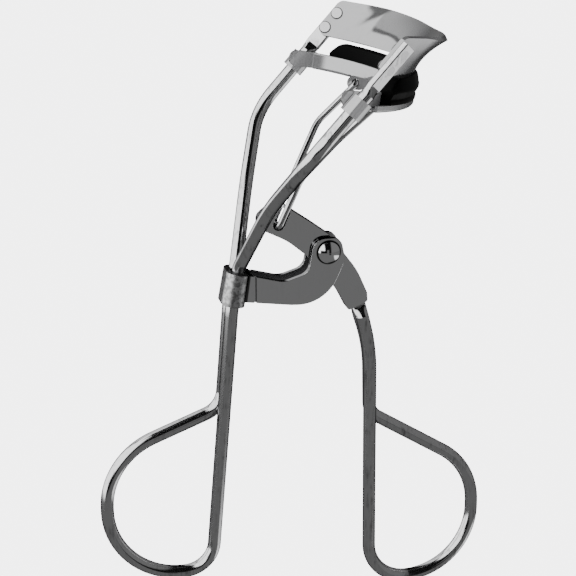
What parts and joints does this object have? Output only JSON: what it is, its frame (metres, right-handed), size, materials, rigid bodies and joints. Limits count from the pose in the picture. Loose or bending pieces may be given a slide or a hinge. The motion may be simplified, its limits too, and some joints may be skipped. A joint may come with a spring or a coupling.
{
  "type": "eyelash curler",
  "caption": "Scissor-like eyelash curler of bent wire: finger loops, a pivoting lever, a wire link and a padded lower jaw that slides up to a curved upper jaw.",
  "frame": {"origin": "centre of the bounding box's bottom face, on the ground plane under the finger loops", "axes": "+Z from the finger loops up to the jaws, +X to the side of the lever's loop and the jaws' bulge, +Y across the jaws"},
  "size_m": [0.0686, 0.0394, 0.1032],
  "materials": {
    "dark_nickel": "polished dark nickel plate",
    "bright_nickel": "polished bright nickel plate",
    "black_rubber": "smooth soft rubber"
  },
  "bodies": {
    "frame": {"frame_wire": "dark_nickel", "bracket": "dark_nickel", "pivot_rivet": "dark_nickel", "upper_jaw": "bright_nickel", "jaw_buttons": "bright_nickel"},
    "lever": {"lever_plate": "dark_nickel", "lever_loop": "dark_nickel"},
    "jaw": {"lower_jaw": "bright_nickel", "lash_pad": "black_rubber"},
    "link": {"push_link": "dark_nickel"}
  },
  "joints": [
    {"name": "lever_pivot", "type": "hinge", "parent": "frame", "child": "lever", "pos_m": [0.00517, 0, 0.06477], "axis": [0, 1, 0], "range_deg": [-28, 2.2]},
    {"name": "jaw_slide", "type": "slide", "parent": "frame", "child": "jaw", "axis": [0.6704, 0, 0.742], "range_m": [-0.0046, 0.0004]},
    {"name": "link_pivot", "type": "hinge", "parent": "jaw", "child": "link", "pos_m": [0.01222, 0, 0.09095], "axis": [0, 1, 0], "range_deg": [-4.2, 0.4]}
  ],
  "couplings": [
    {"joint": "jaw_slide", "follows": "lever_pivot", "m_per_rad": 0.0091},
    {"joint": "link_pivot", "follows": "lever_pivot", "ratio": 0.145}
  ]
}
